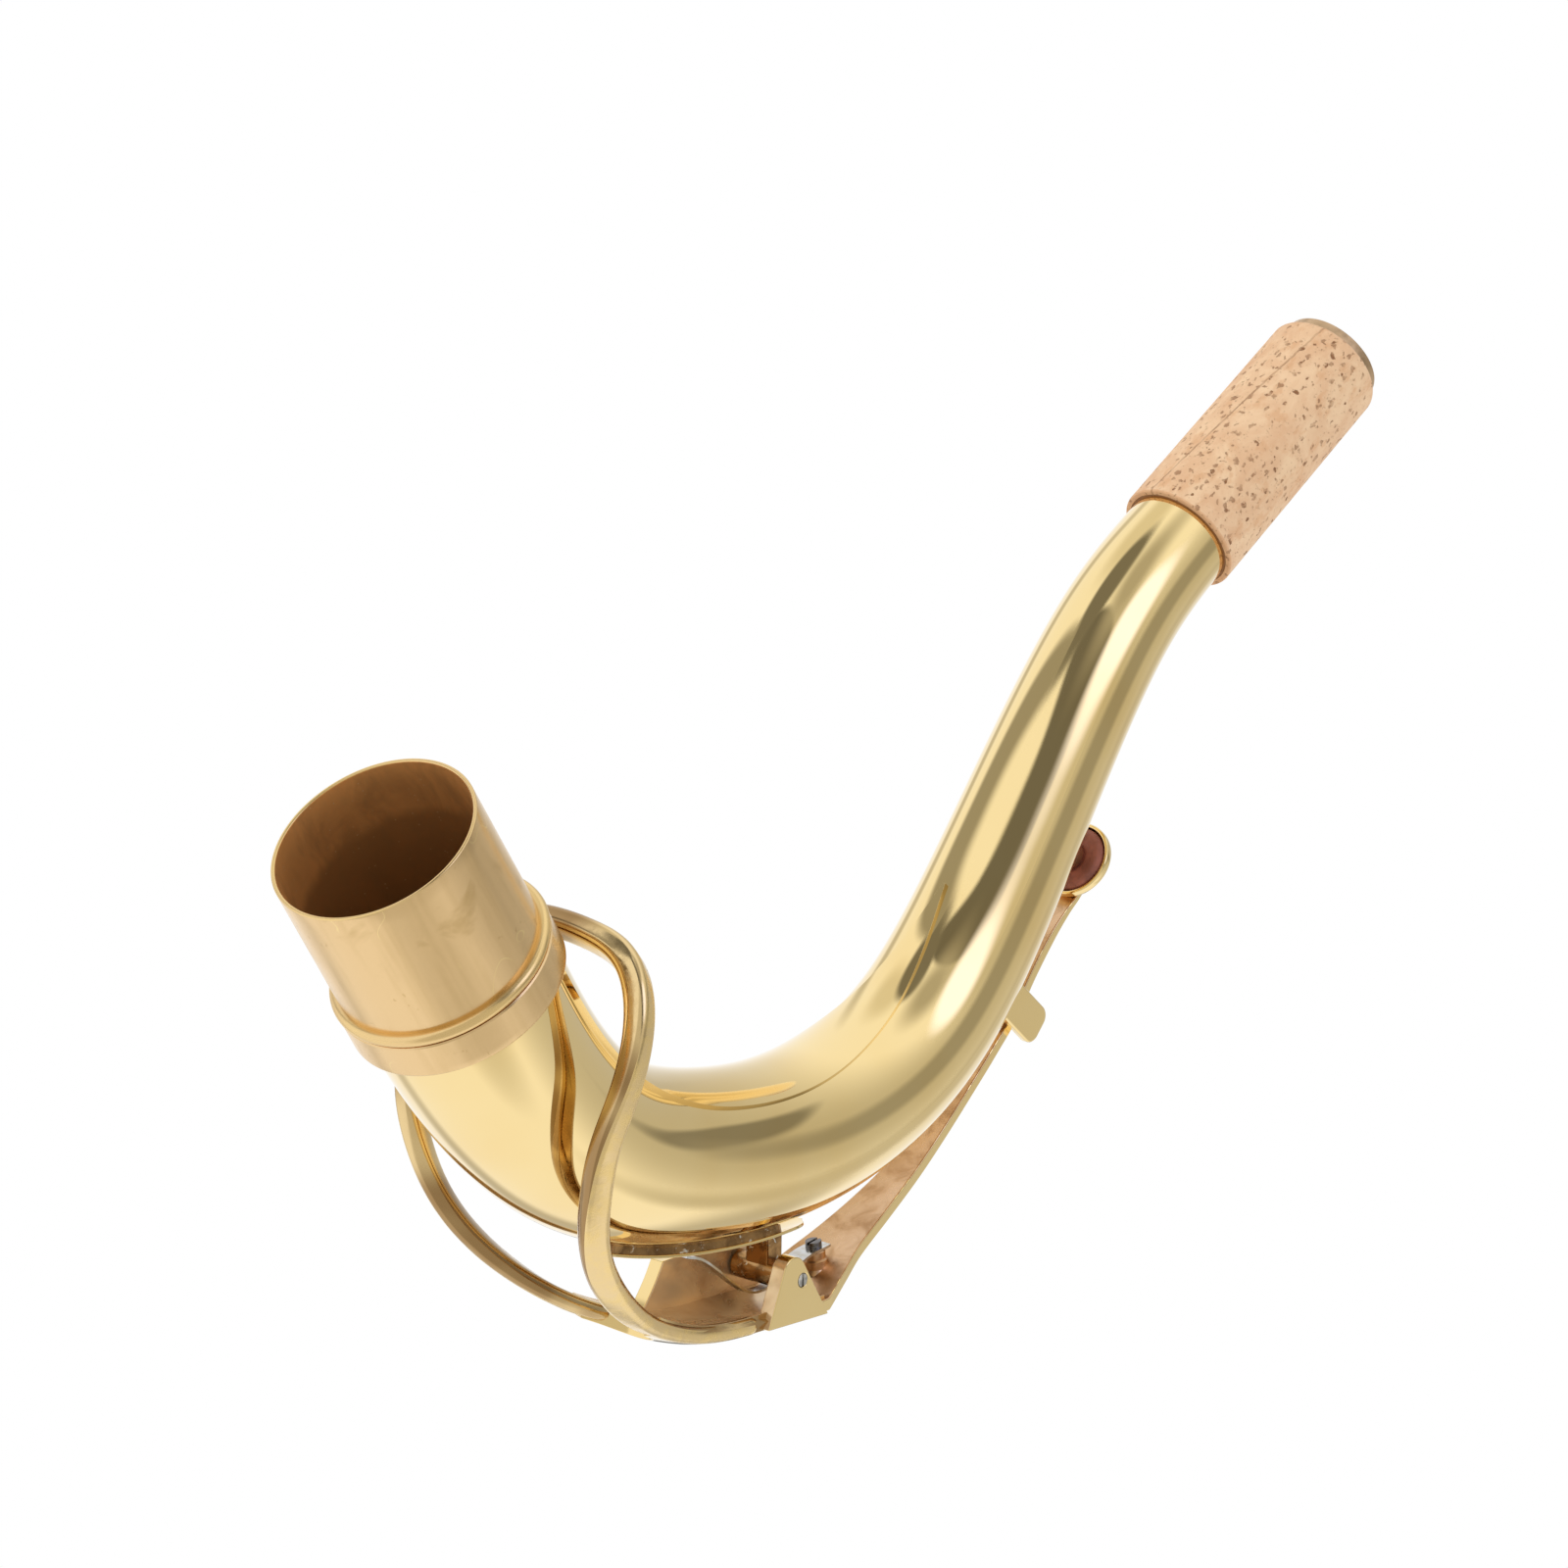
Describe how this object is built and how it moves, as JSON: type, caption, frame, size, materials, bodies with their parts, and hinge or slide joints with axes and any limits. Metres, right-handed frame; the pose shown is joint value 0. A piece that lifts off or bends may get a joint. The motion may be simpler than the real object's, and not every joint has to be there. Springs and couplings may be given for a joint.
{
  "type": "saxophone neck",
  "caption": "Bent tapering brass neck for a tenor saxophone, with a straight tenon, a cork sleeve for the mouthpiece and a sprung octave key that lifts a round pad off a small pip.",
  "frame": {"origin": "centre of the tenon's open end", "axes": "+Z along the tenon into the neck, +X towards the mouthpiece end, Y = 0 is the plane of the bend"},
  "size_m": [0.1918, 0.0396, 0.115],
  "materials": {
    "lacquered_brass": "polished, clear lacquer",
    "satin_brass": "fine turned satin",
    "dull_brass": "dull turned brass",
    "cork": "sanded cork",
    "steel": "turned steel",
    "dark_steel": "dark oxide",
    "blued_steel": "blued spring steel",
    "pad_leather": "smooth tanned leather",
    "pad_felt": "pressed felt",
    "pad_card": "stiff card"
  },
  "bodies": {
    "neck": {"tenon_sleeve": "satin_brass", "bead_ring": "satin_brass", "collar_band": "satin_brass", "neck_tube": "lacquered_brass", "brace_plate": "lacquered_brass", "cork_sleeve": "cork", "end_ring": "dull_brass", "saddle_base": "lacquered_brass", "saddle_post": "lacquered_brass", "pip_flange": "lacquered_brass", "arm_guide": "lacquered_brass", "octave_pip": "dull_brass", "hinge_barrel": "lacquered_brass"},
    "octave_key": {"hinge_rod": "steel", "key_body": "lacquered_brass", "key_loop": "lacquered_brass", "key_arm": "lacquered_brass", "spring_boss": "lacquered_brass", "flat_spring": "blued_steel", "spring_screw": "dark_steel", "pad_cup": "lacquered_brass", "pad_leather": "pad_leather", "pad_felt": "pad_felt", "pad_card": "pad_card"}
  },
  "joints": [
    {"name": "octave_key_hinge", "type": "hinge", "parent": "neck", "child": "octave_key", "pos_m": [0.02049, 0, 0.10331], "axis": [0, -1, 0], "range_deg": [0, 3.5], "stiffness_Nm_per_rad": 0.1, "springref_deg": -17.19, "deforming": ["flat_spring"]}
  ]
}
